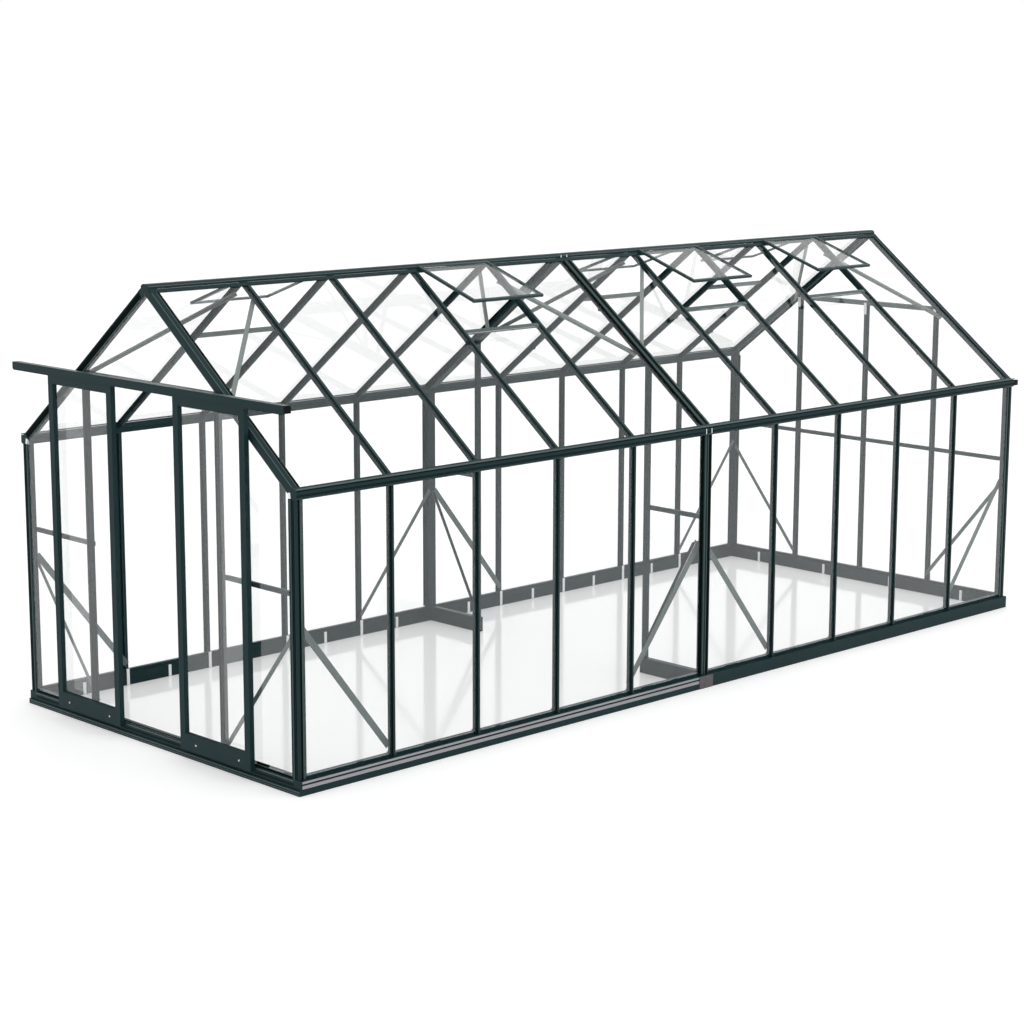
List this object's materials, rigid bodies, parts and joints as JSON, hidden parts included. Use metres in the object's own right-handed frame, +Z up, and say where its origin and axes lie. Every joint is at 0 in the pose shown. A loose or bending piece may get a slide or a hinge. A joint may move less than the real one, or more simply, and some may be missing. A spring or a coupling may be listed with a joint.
{
  "type": "glass greenhouse",
  "caption": "Gabled glass greenhouse with a dark green aluminium frame, open roof vents, a sliding double door in the front gable, and stub partitions half way along.",
  "frame": {"origin": "centre of the building's outer box, on the ground", "axes": "+X to the right when facing the door gable, +Y from the door gable to the rear gable, +Z up"},
  "size_m": [2.538, 6.386, 2.5591],
  "materials": {
    "green_frame": "dark green powder coat on aluminium, satin",
    "aluminium": "mill finish aluminium, satin",
    "glass": "clear toughened glass, 4 mm",
    "black_plastic": "black moulded end caps, matt"
  },
  "bodies": {
    "frame": {"base_clips": "aluminium", "base_corner_blocks": "green_frame", "base_joint_plates": "green_frame", "corner_posts": "green_frame", "door_head": "green_frame", "door_track": "green_frame", "door_track_caps": "black_plastic", "eave_beams": "green_frame", "front_base_rail": "green_frame", "front_gable_glass": "glass", "front_gable_posts": "green_frame", "gable_rafters": "green_frame", "gable_rails": "green_frame", "gutter_ends": "black_plastic", "left_base_rails": "green_frame", "left_roof_bars": "green_frame", "left_roof_glass": "glass", "left_wall_bars": "green_frame", "left_wall_glass": "glass", "middle_posts": "green_frame", "middle_rafters": "green_frame", "partition_base_stubs": "green_frame", "partition_posts": "green_frame", "partition_rails": "green_frame", "rear_base_rail": "green_frame", "rear_gable_glass": "glass", "rear_gable_head": "green_frame", "rear_gable_posts": "green_frame", "ridge_beam": "green_frame", "right_base_rails": "green_frame", "right_base_strips": "aluminium", "right_roof_bars": "green_frame", "right_roof_glass": "glass", "right_wall_bars": "green_frame", "right_wall_glass": "glass", "roof_braces": "green_frame", "sills": "green_frame", "vent_frames": "green_frame", "vent_glass": "glass", "vent_sills": "green_frame", "wall_braces": "green_frame"},
    "left_door": {"left_door_glass": "glass", "left_door_rails": "green_frame", "left_door_rollers": "aluminium", "left_door_stiles": "green_frame"},
    "right_door": {"right_door_glass": "glass", "right_door_rails": "green_frame", "right_door_rollers": "aluminium", "right_door_stiles": "green_frame"}
  },
  "joints": [
    {"name": "left_door_slide", "type": "slide", "parent": "frame", "child": "left_door", "axis": [1, 0, 0], "range_m": [-0.33, 0.2885]},
    {"name": "right_door_slide", "type": "slide", "parent": "frame", "child": "right_door", "axis": [1, 0, 0], "range_m": [-0.2745, 0.315]}
  ]
}
